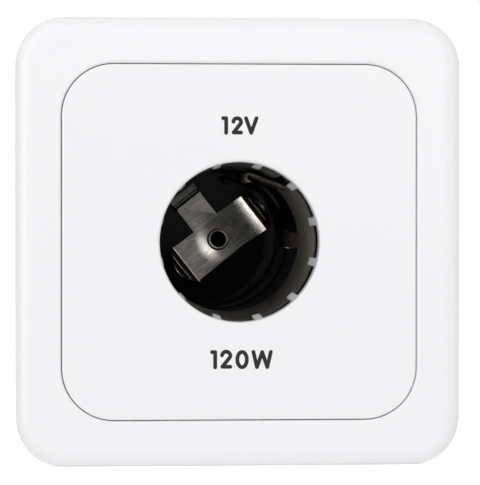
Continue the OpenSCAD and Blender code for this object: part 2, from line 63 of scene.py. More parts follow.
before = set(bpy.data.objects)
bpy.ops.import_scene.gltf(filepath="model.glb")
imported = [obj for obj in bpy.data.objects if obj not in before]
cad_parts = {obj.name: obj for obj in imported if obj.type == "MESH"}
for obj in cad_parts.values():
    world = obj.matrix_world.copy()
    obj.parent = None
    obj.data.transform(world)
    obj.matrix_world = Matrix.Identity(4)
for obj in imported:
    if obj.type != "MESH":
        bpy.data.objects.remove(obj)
cad_low, cad_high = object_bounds()

MM = 0.001


# Units and colours


def linear(hex_colour):
    """Linear RGB of an sRGB hex value."""
    parts = [int(hex_colour[i:i + 2], 16) / 255 for i in (1, 3, 5)]
    return [c / 12.92 if c <= 0.04045 else ((c + 0.055) / 1.055) ** 2.4 for c in parts]


def length(name, description, millimetres):
    """A size in Blender's length unit, given in millimetres."""
    return FloatProperty(
        name=name, description=description, default=millimetres * MM, min=0.0,
        precision=5, unit="LENGTH", subtype="DISTANCE",
    )


def colour(name, description, hex_colour):
    """A colour given as an sRGB hex value."""
    return FloatVectorProperty(
        name=name, description=description, default=linear(hex_colour), size=3,
        min=0.0, max=1.0, subtype="COLOR",
    )


def box_mm(node):
    """Lowest and highest corner of a CAD node, lying on its back, in millimetres."""
    low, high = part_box(node)
    return (
        Vector((low.x, low.z, -high.y)) / MM,
        Vector((high.x, high.z, -low.y)) / MM,
    )


COVER_LOW, COVER_HIGH = box_mm("cover_frame")
CUP_LOW, CUP_HIGH = box_mm("socket_cup")
NUT_LOW, NUT_HIGH = box_mm("cup_nut")
RIVET_LOW, RIVET_HIGH = box_mm("center_rivet")

PRINT_SINK = 0.015                  # how far the plate's front lies behind the frame's, for the ink
FLOOR_BACK = CUP_LOW.z + 2.0        # rear face of the cup's floor, inside the rear recess
STRIP_TURN = math.radians(38)       # how far the contact strip is turned about the barrel's axis
LINK_TURN = math.radians(128)       # its arm, and the link and blade that carry its current
SCREW_R = 6.004                     # the terminal screws' distance from the barrel's axis


class SocketSizes(bpy.types.PropertyGroup):
    """Sizes of the mouldings and metal pieces"""

    frame_w: length("Frame width", "Outside width of the cover frame", COVER_HIGH.x - COVER_LOW.x)
    frame_h: length("Frame height", "Outside height of the cover frame", COVER_HIGH.y - COVER_LOW.y)
    frame_depth: length("Frame depth", "How far the front stands off the panel", COVER_HIGH.z)
    frame_corner: length("Frame corner", "Radius of the frame's outside corners", 6.6)
    frame_edge: length("Front edge", "Rounding of the frame's front edge", 2.3)
    seam_edge: length("Seam edge", "Rounding of the frame's edge along the seam", 0.55)
    plate_w: length("Plate width", "Width and height of the face plate", 48.0)
    plate_corner: length("Plate corner", "Radius of the face plate's corners", 7.0)
    plate_edge: length("Plate edge", "Rounding of the face plate's front edge", 0.25)
    seam_gap: length("Seam", "Gap between the face plate and the frame", 0.11)
    hole_d: length("Hole", "Bore of the hole for the plug", 21.64)
    hole_edge: length("Hole edge", "Rounding of the hole's front edge", 0.5)
    rib_w: length("Guide rib", "Width of a guide rib", 1.15)
    thread_pitch: length("Thread pitch", "Pitch of the barrel's outside thread", 3.0)
    stroke: length("Lettering stroke", "Width of the printed strokes", 0.52)
    rib_count: IntProperty(
        name="Guide ribs", description="Number of guide ribs round the hole", default=12, min=1,
    )


class SocketFinishes(bpy.types.PropertyGroup):
    """Colours of the materials"""

    frame_white: colour("Cover frame", "Moulded white of the cover frame", "#F2F2F4")
    plate_white: colour("Face plate", "Moulded white of the face plate", "#F1F1F3")
    carrier_white: colour("Mounting frame", "Moulded white of the mounting frame", "#E4E4E2")
    cup_black: colour("Cup", "Black of the cup", "#070708")
    nut_black: colour("Nut", "Black of the ring nut", "#1A1A1C")
    rubber: colour("Gasket", "Black of the rubber gasket", "#1E1E20")
    nickel: colour("Nickel", "Plating of the centre contact and the blades", "#D2CEC6")
    ring_nickel: colour("Ring", "Duller plating of the ground ring", "#A8A298")
    # painted shade: the link's colour is a darker copy of the strip's nickel, for the shade under
    # the arm
    link_nickel: colour("Link", "Tarnished plating of the link under the arm", "#8E8A82")
    zinc: colour("Zinc", "Plating of the screws and washers", "#BCC1C6")
    ink: colour("Lettering", "Ink of the lettering", "#28282A")


class SocketStage(bpy.types.PropertyGroup):
    """Camera and light"""

    camera_x: FloatProperty(
        name="Camera across", description="Camera's place left or right of the hole",
        default=-32.6 * MM, precision=5, unit="LENGTH", subtype="DISTANCE",
    )
    camera_z: FloatProperty(
        name="Camera up", description="Camera's height over the hole",
        default=4.3 * MM, precision=5, unit="LENGTH", subtype="DISTANCE",
    )
    camera_off: length("Camera distance", "Distance of the camera from the front face", 400.0)
    lens: FloatProperty(
        name="Lens", description="Focal length in millimetres on a 36 mm sensor", default=220.5,
    )
    ambient: FloatProperty(
        name="Ambient", description="Even light from all round", default=0.52, min=0.0,
    )
    key: FloatProperty(
        name="Key light", description="Power of the softbox over the camera, in watts",
        default=3.5, min=0.0, unit="POWER",
    )


# Shapes


def around(verts):
    """Vertices in order of their angle about the barrel's axis."""
    return sorted(verts, key=lambda v: math.atan2(v.co.y, v.co.x) % math.tau)


def form(verts, w, h, r, z, steps):
    """Lays a loop's vertices round a rounded rectangle, or round a circle where w = h = 2 r."""
    is_circle = abs(w - 2 * r) < 1e-6 and abs(h - 2 * r) < 1e-6
    for i, v in enumerate(around(verts)):
        quarter, k = divmod(i, steps + 1)
        if is_circle:
            turn = math.tau * (i + 0.5) / (4 * (steps + 1))
        else:
            turn = (quarter + k / steps) * math.pi / 2
        sx = 1 if quarter in (0, 3) else -1
        sy = 1 if quarter in (0, 1) else -1
        v.co = (
            sx * (w / 2 - r) + r * math.cos(turn), sy * (h / 2 - r) + r * math.sin(turn), z,
        )


def stack(bm, rings, steps=12):
    """Extrudes a closed loop through rings (width, height, corner radius, z) and back to the
    first one, and gives each ring's edges."""
    verts = bmesh.ops.create_circle(bm, segments=4 * (steps + 1), radius=1.0)["verts"]
    form(verts, *rings[0], steps)
    first = around(verts)
    loops = [list({e for v in verts for e in v.link_edges})]
    for ring in rings[1:] + rings[:1]:
        moved = bmesh.ops.extrude_edge_only(bm, edges=loops[-1])["geom"]
        verts = [g for g in moved if isinstance(g, bmesh.types.BMVert)]
        form(verts, *ring, steps)
        loops.append([g for g in moved if isinstance(g, bmesh.types.BMEdge)])
    bmesh.ops.weld_verts(bm, targetmap=dict(zip(around(verts), first)))
    return loops[:-1]


def soften(bm, edges, width, segments=3, clamp=True):
    """Rounds edges. clamp keeps neighbouring edges from running into each other."""
    bmesh.ops.bevel(
        bm, geom=list(edges), offset=width, offset_type="OFFSET", segments=segments,
        profile=0.5, affect="EDGES", material=-1, clamp_overlap=clamp,
    )


def sharp(bm, degrees=40):
    """The edges where two faces meet at more than that angle."""
    bmesh.ops.recalc_face_normals(bm, faces=bm.faces)
    limit = math.radians(degrees)
    return [e for e in bm.edges if len(e.link_faces) == 2 and e.calc_face_angle(0) > limit]


def block(bm, low, high, turn=0.0):
    """A box between two corners, turned about the barrel's axis, as a rib, a grip or a cutter."""
    made = bmesh.ops.create_cube(bm, size=1.0)["verts"]
    low, high = Vector(low), Vector(high)
    bmesh.ops.scale(bm, vec=high - low, verts=made)
    bmesh.ops.translate(bm, vec=(low + high) / 2, verts=made)
    bmesh.ops.rotate(bm, cent=(0, 0, 0), matrix=Matrix.Rotation(turn, 3, "Z"), verts=made)
    return made


def rod(bm, x, y, z0, z1, r, segments=24):
    """An upright cylinder between two heights."""
    bmesh.ops.create_cone(
        bm, cap_ends=True, segments=segments, radius1=r, radius2=r, depth=z1 - z0,
        matrix=Matrix.Translation((x, y, (z0 + z1) / 2)),
    )


def revolve(bm, section, steps=96, closed=False):
    """Spins a section of (radius, height) points about the barrel's axis."""
    verts = [bm.verts.new((r, 0, z)) for r, z in section]
    chain = list(zip(verts, verts[1:]))
    if closed:
        chain.append((verts[-1], verts[0]))
    edges = [bm.edges.new(pair) for pair in chain]
    bmesh.ops.spin(
        bm, geom=verts + edges, cent=(0, 0, 0), axis=(0, 0, 1), dvec=(0, 0, 0),
        angle=math.tau, steps=steps, use_merge=True, use_duplicate=False,
    )
    bmesh.ops.remove_doubles(bm, verts=bm.verts, dist=1e-4)


def prism(bm, points, push):
    """A flat face through the points, extruded by a vector."""
    face = bm.faces.new([bm.verts.new(p) for p in points])
    moved = bmesh.ops.extrude_face_region(bm, geom=[face], use_keep_orig=True)["geom"]
    top = [v for v in moved if isinstance(v, bmesh.types.BMVert)]
    bmesh.ops.translate(bm, vec=push, verts=top)
    return top + list(face.verts)


def join(bm, other):
    """Adds another mesh to bm."""
    mesh = bpy.data.meshes.new("joined")
    other.to_mesh(mesh)
    other.free()
    bm.from_mesh(mesh)
    bpy.data.meshes.remove(mesh)


def arc(cx, cy, rx, ry, start_deg, end_deg, steps=14):
    """Points along part of an ellipse."""
    turns = [math.radians(start_deg + (end_deg - start_deg) * i / steps) for i in range(steps + 1)]
    return [(cx + rx * math.cos(t), cy + ry * math.sin(t)) for t in turns]


def stroke(bm, path, width, z0, z1, closed=False):
    """A flat printed stroke of even width with round ends and corners along a path."""
    points = [Vector(p) for p in path]
    count = len(points)
    half = width / 2
    rails = ([], [])
    for i, p in enumerate(points):
        into = (p - points[i - 1]).normalized() if i or closed else None
        out = (points[(i + 1) % count] - p).normalized() if i < count - 1 or closed else into
        into = out if into is None else into
        n0, n1 = Vector((-into.y, into.x)), Vector((-out.y, out.x))
        middle = (n0 + n1).normalized()
        corner = middle * (half / middle.dot(n0))
        if n0.dot(n1) > 0.9:
            rails[0].append(p + corner)
            rails[1].append(p - corner)
            continue
        outer = 0 if into.x * out.y - into.y * out.x < 0 else 1
        sign = 1 - 2 * outer
        rails[1 - outer].append(p - sign * corner)
        for k in range(9):
            rails[outer].append(p + sign * half * n0.lerp(n1, k / 8).normalized())
    if closed:
        ring = [bm.verts.new((*p, z1)) for p in rails[0]]
        place = {v.co.to_tuple(4): q for v, q in zip(ring, rails[1])}
        edges = [bm.edges.new((ring[i - 1], ring[i])) for i in range(count)]
        moved = bmesh.ops.extrude_edge_only(bm, edges=edges)["geom"]
        faces = [g for g in moved if isinstance(g, bmesh.types.BMFace)]
        for v in [g for g in moved if isinstance(g, bmesh.types.BMVert)]:
            v.co = (*place[v.co.to_tuple(4)], z1)
    else:
        ends = []
        for p, q in ((points[-1], points[-2]), (points[0], points[1])):
            away = (p - q).normalized()
            turn = math.degrees(math.atan2(away.y, away.x))
            ends.append(arc(p.x, p.y, half, half, turn + 90, turn - 90, 10)[1:-1])
        ring = rails[0] + [Vector(p) for p in ends[0]]
        ring += rails[1][::-1] + [Vector(p) for p in ends[1]]
        faces = [bm.faces.new([bm.verts.new((*p, z1)) for p in ring])]
    moved = bmesh.ops.extrude_face_region(bm, geom=faces, use_keep_orig=True)["geom"]
    low = [v for v in moved if isinstance(v, bmesh.types.BMVert)]
    bmesh.ops.translate(bm, vec=(0, 0, z0 - z1), verts=low)


def copy_node(node):
    """A merged copy of a CAD node's mesh, lying on its back in millimetres."""
    bm = bmesh.new()
    bm.from_mesh(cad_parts[node].data)
    bmesh.ops.scale(bm, vec=(1 / MM,) * 3, verts=bm.verts)
    bmesh.ops.rotate(
        bm, cent=(0, 0, 0), matrix=Matrix.Rotation(-math.pi / 2, 3, "X"), verts=bm.verts,
    )
    bmesh.ops.remove_doubles(bm, verts=bm.verts, dist=1e-3)
    bmesh.ops.dissolve_limit(
        bm, angle_limit=math.radians(0.5), use_dissolve_boundaries=False,
        verts=bm.verts, edges=bm.edges,
    )
    return bm


def put(bm, name, material, slot, *nodes, smooth=35):
    """Stands a lying mesh up, makes it a piece, and lets it stand for CAD nodes."""
    bmesh.ops.remove_doubles(bm, verts=bm.verts, dist=1e-4)
    bmesh.ops.recalc_face_normals(bm, faces=bm.faces)
    bmesh.ops.rotate(
        bm, cent=(0, 0, 0), matrix=Matrix.Rotation(math.pi / 2, 3, "X"), verts=bm.verts,
    )
    bmesh.ops.scale(bm, vec=(MM,) * 3, verts=bm.verts)
    mesh = bpy.data.meshes.new(name)
    bm.to_mesh(mesh)
    bm.free()
    mesh.polygons.foreach_set("use_smooth", [True] * len(mesh.polygons))
    mesh.set_sharp_from_angle(angle=math.radians(smooth))
    mesh.materials.append(material)
    piece = bpy.data.objects.new(name, mesh)
    bpy.context.scene.collection.objects.link(piece)
    even = piece.modifiers.new("even_normals", "WEIGHTED_NORMAL")
    even.keep_sharp = True
    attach(piece, "root")
    if nodes:
        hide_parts(*nodes)
    return piece


def carve(bm, cutters):
    """Takes the solids in the mesh cutters out of bm, and gives the new mesh."""
    made = []
    for name, source in (("solid", bm), ("cutter", cutters)):
        bmesh.ops.remove_doubles(source, verts=source.verts, dist=1e-4)
        bmesh.ops.recalc_face_normals(source, faces=source.faces)
        mesh = bpy.data.meshes.new(name)
        source.to_mesh(mesh)
        source.free()
        thing = bpy.data.objects.new(name, mesh)
        bpy.context.scene.collection.objects.link(thing)
        made.append(thing)
    solid, cutter = made
    cut = solid.modifiers.new("cut", "BOOLEAN")
    cut.operation = "DIFFERENCE"
    cut.solver = "EXACT"
    cut.use_self = True
    cut.object = cutter
    bpy.context.view_layer.update()
    graph = bpy.context.evaluated_depsgraph_get()
    result = bmesh.new()
    result.from_object(solid, graph)
    for thing in made:
        mesh = thing.data
        bpy.data.objects.remove(thing)
        bpy.data.meshes.remove(mesh)
    return result


# Materials


def add(tree, kind, inputs=None, **settings):
    """Adds a node. inputs maps a socket to a value, or to the output that feeds it."""
    node = tree.nodes.new(kind)
    for name, value in settings.items():
        setattr(node, name, value)
    for key, value in (inputs or {}).items():
        if isinstance(value, bpy.types.NodeSocket):
            tree.links.new(value, node.inputs[key])
        else:
            node.inputs[key].default_value = value
    return node


def start(name):
    """A new material with an empty node tree, its Object coordinates and its tree."""
    material = bpy.data.materials.new(name)
    material.use_nodes = True
    tree = material.node_tree
    tree.nodes.clear()
    return material, tree, add(tree, "ShaderNodeTexCoord").outputs["Object"]


def per(millimetres):
    """Noise scale at which one grain has that size."""
    return 1 / (millimetres * MM)


def tint(rgb, share):
    """A colour made darker or lighter, with alpha."""
    return [min(1.0, c * share) for c in rgb] + [1.0]


def moulded_abs(name, rgb, rough, texture):
    """Injection-moulded white ABS. The eye sees an even off-white with a satin skin from the
    spark-eroded mould, and the faint unevenness of a thick wall that has shrunk.
    The texture's real grain of 0.06 mm is drawn at 0.22 mm, so that it shows."""
    material, tree, coords = start(name)
    shrink = add(tree, "ShaderNodeTexNoise", {"Vector": coords, "Scale": per(18), "Detail": 2.0})
    body = add(tree, "ShaderNodeMix", {
        0: shrink.outputs["Fac"], 6: tint(rgb, 0.992), 7: tint(rgb, 1.008),
    }, data_type="RGBA")
    grain = add(tree, "ShaderNodeTexNoise", {
        "Vector": coords, "Scale": per(0.22), "Detail": 3.0, "Roughness": 0.6,
    })
    skin = add(tree, "ShaderNodeMapRange", {
        "Value": grain.outputs["Fac"], "To Min": rough - 0.04, "To Max": rough + 0.04,
    })
    relief = add(tree, "ShaderNodeBump", {
        "Height": grain.outputs["Fac"], "Distance": 0.004 * MM, "Strength": texture,
    })
    shader = add(tree, "ShaderNodeBsdfPrincipled", {
        "Base Color": body.outputs[2], "Roughness": skin.outputs["Result"],
        "Normal": relief.outputs["Normal"], "IOR": 1.53,
    })
    add(tree, "ShaderNodeOutputMaterial", {"Surface": shader.outputs["BSDF"]})
    return material


def moulded_black(name, rgb, rough, scuff):
    """Moulded black PBT or nylon. The eye sees a deep black whose polished skin mirrors the
    light, broken by faint flow lines along the draw and by fine handling scuffs."""
    material, tree, coords = start(name)
    along = add(tree, "ShaderNodeMapping", {"Vector": coords, "Scale": (1.0, 0.08, 1.0)})
    flow = add(tree, "ShaderNodeTexNoise", {
        "Vector": along.outputs["Vector"], "Scale": per(1.4), "Detail": 4.0,
    })
    scuffs = add(tree, "ShaderNodeTexNoise", {
        "Vector": coords, "Scale": per(0.35), "Detail": 5.0, "Distortion": 1.5,
    })
    mixed = add(tree, "ShaderNodeMix", {
        0: 0.5, 2: flow.outputs["Fac"], 3: scuffs.outputs["Fac"],
    }, data_type="FLOAT")
    skin = add(tree, "ShaderNodeMapRange", {
        "Value": mixed.outputs[0], "From Min": 0.3, "From Max": 0.7,
        "To Min": rough, "To Max": rough + scuff,
    })
    relief = add(tree, "ShaderNodeBump", {
        "Height": mixed.outputs[0], "Distance": 0.01 * MM, "Strength": 2 * scuff,
    })
    shader = add(tree, "ShaderNodeBsdfPrincipled", {
        "Base Color": tint(rgb, 1.0), "Roughness": skin.outputs["Result"],
        "Normal": relief.outputs["Normal"], "IOR": 1.53,
    })
    add(tree, "ShaderNodeOutputMaterial", {"Surface": shader.outputs["BSDF"]})
    return material


def pressed_strip(tree, turned):
    """Height of the contact strip's skin: a dish that the riveting has drawn in round the rivet,
    and a hollow towards the end that rises to the plug. The eye sees a bright crescent beside
    the rivet and a glint at that end. Both are a few tenths of a millimetre deep or less."""
    flat = add(tree, "ShaderNodeMapping", {"Vector": turned, "Scale": (1.0, 0.0, 1.0)})
    reach = add(tree, "ShaderNodeVectorMath", {0: flat.outputs["Vector"]}, operation="LENGTH")
    dish = add(tree, "ShaderNodeMapRange", {
        "Value": reach.outputs["Value"], "From Min": 3.6 * MM, "From Max": 1.3 * MM,
    })
    along = add(tree, "ShaderNodeSeparateXYZ", {"Vector": turned})
    hollow = add(tree, "ShaderNodeMapRange", {
        "Value": along.outputs["X"], "From Min": 4.4 * MM, "From Max": 8.4 * MM,
    })
    heights = []
    for share, rise in ((dish, -0.17 * MM), (hollow, 0.36 * MM)):
        curve = add(tree, "ShaderNodeMath", {
            0: share.outputs["Result"], 1: 2.0,
        }, operation="POWER")
        height = add(tree, "ShaderNodeMath", {
            0: curve.outputs[0], 1: rise,
        }, operation="MULTIPLY")
        heights.append(height.outputs[0])
    return add(tree, "ShaderNodeMath", {0: heights[0], 1: heights[1]}, operation="ADD").outputs[0]


def plated_metal(name, rgb, rough, streak, turn, tarnish, pressed=False, bore=0.0, brushed=0.0):
    """Rolled and plated sheet or wire. The eye sees a warm or cool grey mirror blurred along the
    rolling direction, with drawn lines and a cloudy tarnish where fingers and plugs have been.
    The rolling lines of 0.02 mm are drawn 0.09 mm wide, so that they show.
    streak is the pattern's size along X, Y and Z as shares of a line's width, and within the
    radius bore the colour turns near-black, painted shade for the deep hole of the hollow rivet.
    brushed spreads its glints along the barrel."""
    material, tree, coords = start(name)
    turned = add(tree, "ShaderNodeMapping", {"Vector": coords, "Rotation": turn})
    stretched = add(tree, "ShaderNodeMapping", {
        "Vector": turned.outputs["Vector"], "Scale": streak,
    })
    lines = add(tree, "ShaderNodeTexNoise", {
        "Vector": stretched.outputs["Vector"], "Scale": per(0.09), "Detail": 3.0,
    })
    cloud = add(tree, "ShaderNodeTexNoise", {
        "Vector": coords, "Scale": per(2.2), "Detail": 5.0, "Roughness": 0.6,
    })
    patch = add(tree, "ShaderNodeMapRange", {
        "Value": cloud.outputs["Fac"], "From Min": 0.42, "From Max": 0.7,
    })
    body = add(tree, "ShaderNodeMix", {
        0: patch.outputs["Result"], 6: tint(rgb, 1.0), 7: tint(rgb, tarnish),
    }, data_type="RGBA")
    # painted shade: within the radius bore the colour turns near-black, for the shade deep in the
    # rivet's hole
    if bore:
        flat = add(tree, "ShaderNodeMapping", {"Vector": coords, "Scale": (1.0, 0.0, 1.0)})
        reach = add(tree, "ShaderNodeVectorMath", {0: flat.outputs["Vector"]}, operation="LENGTH")
        bore_shade = add(tree, "ShaderNodeMath", {
            0: reach.outputs["Value"], 1: bore * MM}, operation="LESS_THAN")
        body = add(tree, "ShaderNodeMix", {
            0: bore_shade.outputs[0], 6: body.outputs[2], 7: (0.02, 0.018, 0.016, 1.0),
        }, data_type="RGBA")
    skin = add(tree, "ShaderNodeMapRange", {
        "Value": lines.outputs["Fac"], "From Min": 0.3, "From Max": 0.7,
        "To Min": rough - 0.05, "To Max": rough + 0.07,
    })
    relief = add(tree, "ShaderNodeBump", {
        "Height": lines.outputs["Fac"], "Distance": 0.004 * MM, "Strength": 0.35,
    })
    if pressed:
        relief = add(tree, "ShaderNodeBump", {
            "Height": pressed_strip(tree, turned.outputs["Vector"]), "Distance": 1.0,
            "Strength": 1.0, "Normal": relief.outputs["Normal"],
        })
    shader = add(tree, "ShaderNodeBsdfPrincipled", {
        "Base Color": body.outputs[2], "Metallic": 1.0, "Roughness": skin.outputs["Result"],
        "Normal": relief.outputs["Normal"], "Anisotropic": brushed,
        "Tangent": add(tree, "ShaderNodeCombineXYZ", {"Y": 1.0}).outputs["Vector"],
    })
    add(tree, "ShaderNodeOutputMaterial", {"Surface": shader.outputs["BSDF"]})
    return material


def cut_rubber(name, rgb):
    """Nitrile rubber punched from sheet. The eye sees a dull charcoal with a cloth-fine grain."""
    material, tree, coords = start(name)
    grain = add(tree, "ShaderNodeTexNoise", {"Vector": coords, "Scale": per(0.3), "Detail": 4.0})
    body = add(tree, "ShaderNodeMix", {
        0: grain.outputs["Fac"], 6: tint(rgb, 0.8), 7: tint(rgb, 1.3),
    }, data_type="RGBA")
    relief = add(tree, "ShaderNodeBump", {
        "Height": grain.outputs["Fac"], "Distance": 0.03 * MM, "Strength": 0.5,
    })
    shader = add(tree, "ShaderNodeBsdfPrincipled", {
        "Base Color": body.outputs[2], "Roughness": 0.78, "Normal": relief.outputs["Normal"],
    })
    add(tree, "ShaderNodeOutputMaterial", {"Surface": shader.outputs["BSDF"]})
    return material


def printed_ink(name, rgb):
    """Pad-printed ink. The eye sees a dark grey film, matt, a little thin in places."""
    material, tree, coords = start(name)
    film = add(tree, "ShaderNodeTexNoise", {"Vector": coords, "Scale": per(0.5), "Detail": 3.0})
    body = add(tree, "ShaderNodeMix", {
        0: film.outputs["Fac"], 6: tint(rgb, 0.9), 7: tint(rgb, 1.15),
    }, data_type="RGBA")
    shader = add(tree, "ShaderNodeBsdfPrincipled", {
        "Base Color": body.outputs[2], "Roughness": 0.6,
    })
    add(tree, "ShaderNodeOutputMaterial", {"Surface": shader.outputs["BSDF"]})
    return material


# Operators


def sizes_of(context):
    """The scene's sizes in millimetres, by name."""
    group = context.scene.socket_sizes
    found = {}
    for name in SocketSizes.__annotations__:
        value = getattr(group, name)
        found[name] = value if name == "rib_count" else value / MM
    return found


class SOCKET_OT_cover_frame(bpy.types.Operator):
    """Moulds the cover frame: rounded front, seam wall, and the ledge under the face plate"""

    bl_idname = "socket.cover_frame"
    bl_label = "Cover frame"

    def execute(self, context):
        s = sizes_of(context)
        w, h, r, front = s["frame_w"], s["frame_h"], s["frame_corner"], s["frame_depth"]
        opening = s["plate_w"] + 2 * s["seam_gap"]
        open_r = s["plate_corner"] + s["seam_gap"]
        wall, lip, rib = 2.0, 1.68, 0.7
        ledge_top, ledge_foot = front - 2.3, front - 3.7
        ledge_in, skin = opening - 2 * lip, front - s["frame_edge"] - 0.3
        bm = bmesh.new()
        loops = stack(bm, [
            (w, h, r, 0.0),
            (w, h, r, front),
            (opening, opening, open_r, front),
            (opening, opening, open_r, ledge_top),
            (ledge_in, ledge_in, open_r - lip, ledge_top),
            (ledge_in, ledge_in, open_r - lip, ledge_foot),
            (opening + 2 * wall, opening + 2 * wall, open_r + wall, ledge_foot),
            (opening + 2 * wall, opening + 2 * wall, open_r + wall, skin),
            (w - 2 * wall, h - 2 * wall, r - wall, skin),
            (w - 2 * wall, h - 2 * wall, r - wall, 0.0),
        ], steps=16)
        soften(bm, loops[1], s["frame_edge"], 12)
        soften(bm, loops[2], s["seam_edge"], 6)
        soften(bm, [e for k in (0, 4, 5, 9) for e in loops[k]], 0.15, 2)
        for side in (-1, 1):
            x0, x1 = sorted((side * (w / 2 - wall), side * (w / 2 - wall - rib)))
            y0, y1 = sorted((side * (h / 2 - wall), side * (h / 2 - wall - rib)))
            for t in (-15.05, 15.05):
                block(bm, (x0, t - 0.6, 0.5), (x1, t + 0.6, skin))
                block(bm, (t - 0.6, y0, 0.5), (t + 0.6, y1, skin))
        white = moulded_abs(
            "abs_satin_white_frame", context.scene.socket_finishes.frame_white, 0.36, 0.35)
        put(bm, "cover_frame_moulding", white, "frame_white", "cover_frame")
        return {"FINISHED"}


class SOCKET_OT_face_plate(bpy.types.Operator):
    """Moulds the face plate: flat front, round hole, twelve guide ribs, skirt with snap hooks"""

    bl_idname = "socket.face_plate"
    bl_label = "Face plate"

    def execute(self, context):
        s = sizes_of(context)
        front = s["frame_depth"] - PRINT_SINK
        back, foot = s["frame_depth"] - 2.2, 2.2
        plate, corner, hole = s["plate_w"], s["plate_corner"], s["hole_d"]
        collar, collar_foot = 26.6, back - 1.6
        skirt, skirt_r, wall = plate - 3.4, 5.3, 1.4
        bm = bmesh.new()
        loops = stack(bm, [
            (plate, plate, corner, back),
            (plate, plate, corner, front),
            (hole, hole, hole / 2, front),
            (hole, hole, hole / 2, back),
            (collar, collar, collar / 2, back),
            (collar, collar, collar / 2, collar_foot),
            (collar + 2 * wall, collar + 2 * wall, collar / 2 + wall, collar_foot),
            (collar + 2 * wall, collar + 2 * wall, collar / 2 + wall, back),
            (skirt - 2 * wall, skirt - 2 * wall, skirt_r - wall, back),
            (skirt - 2 * wall, skirt - 2 * wall, skirt_r - wall, foot),
            (skirt, skirt, skirt_r, foot),
            (skirt, skirt, skirt_r, back),
        ], steps=24)
        soften(bm, loops[1], s["plate_edge"], 5)
        soften(bm, loops[2], s["hole_edge"], 6)
        soften(bm, [e for k in (9, 10) for e in loops[k]], 0.2, 2)
        ribs = bmesh.new()
        top, low, rim, half = front - 0.9, 2.15, hole / 2, s["rib_w"] / 2
        wedge = [(rim - 0.45, low), (rim + 0.05, top), (rim + 0.6, top), (rim + 0.6, low)]
        for i in range(s["rib_count"]):
            made = prism(ribs, [(r, -half, z) for r, z in wedge], (0, 2 * half, 0))
            a = math.tau * (i + 0.5) / s["rib_count"]
            bmesh.ops.rotate(ribs, cent=(0, 0, 0), matrix=Matrix.Rotation(a, 3, "Z"), verts=made)
        soften(ribs, sharp(ribs), 0.12, 3)
        for side in range(4):
            a = side * math.pi / 2
            hook = [(0, 2.2), (0.9, 2.8), (0.9, 3.4), (0, 3.7)]
            made = prism(ribs, [(skirt / 2 + x, -3.5, z) for x, z in hook], (0, 7, 0))
            bmesh.ops.rotate(ribs, cent=(0, 0, 0), matrix=Matrix.Rotation(a, 3, "Z"), verts=made)
        for i in range(8):
            low_end, high_end = (14.6, -0.5, back - 1.1), (skirt / 2 - 1, 0.5, back + 0.1)
            block(ribs, low_end, high_end, i * math.pi / 4)
        join(bm, ribs)
        white = moulded_abs(
            "abs_satin_white_plate", context.scene.socket_finishes.plate_white, 0.34, 0.3)
        put(bm, "face_plate_moulding", white, "plate_white", "face_plate")
        return {"FINISHED"}


class SOCKET_OT_lettering(bpy.types.Operator):
    """Prints the socket's voltage over the hole and its power under it, a plain rating"""

    bl_idname = "socket.lettering"
    bl_label = "Rating"

    def execute(self, context):
        s = sizes_of(context)
        z1 = s["frame_depth"] - 0.002
        z0 = s["frame_depth"] - PRINT_SINK - 0.01
        wide = s["stroke"]
        bm = bmesh.new()

        one = [(0.0, 1.0), (1.0, 1.0), (1.0, 0.0)]
        two = arc(0.5, 0.74, 0.5, 0.26, 175, -22, 16) + [(0.03, 0.02), (1.0, 0.02)]
        vee = [(0.0, 1.0), (0.5, 0.0), (1.0, 1.0)]
        double_vee = [(0.0, 1.0), (0.204, 0.0), (0.504, 0.99), (0.796, 0.0), (1.0, 1.0)]
        nought = arc(0.5, 0.5, 0.5, 0.5, 0, 350, 35)
        # left, foot, width and height of each character's centre line, and its path
        for left, foot, glyph_w, tall, path in (
            (-2.27, 14.76, 0.41, 1.97, one), (-0.88, 14.76, 1.03, 1.97, two),
            (0.83, 14.76, 1.42, 1.97, vee),
            (-3.77, -16.91, 0.42, 2.05, one), (-2.42, -16.89, 1.12, 2.09, two),
            (-0.35, -16.91, 1.29, 2.06, nought), (1.83, -16.92, 2.37, 2.07, double_vee),
        ):
            placed = [(left + x * glyph_w, foot + y * tall) for x, y in path]
            stroke(bm, placed, wide, z0, z1, closed=path is nought)
        ink = printed_ink("pad_print_grey", context.scene.socket_finishes.ink)
        put(bm, "rating_print", ink, "plate_white")
        return {"FINISHED"}


class SOCKET_OT_mounting_frame(bpy.types.Operator):
    """Dresses the mounting frame that the screws hold to the panel"""

    bl_idname = "socket.mounting_frame"
    bl_label = "Mounting frame"

    def execute(self, context):
        bm = copy_node("mounting_frame")
        white = moulded_abs(
            "abs_matt_white_carrier", context.scene.socket_finishes.carrier_white, 0.5, 0.5)
        put(bm, "mounting_frame_moulding", white, "carrier_white", "mounting_frame")
        return {"FINISHED"}


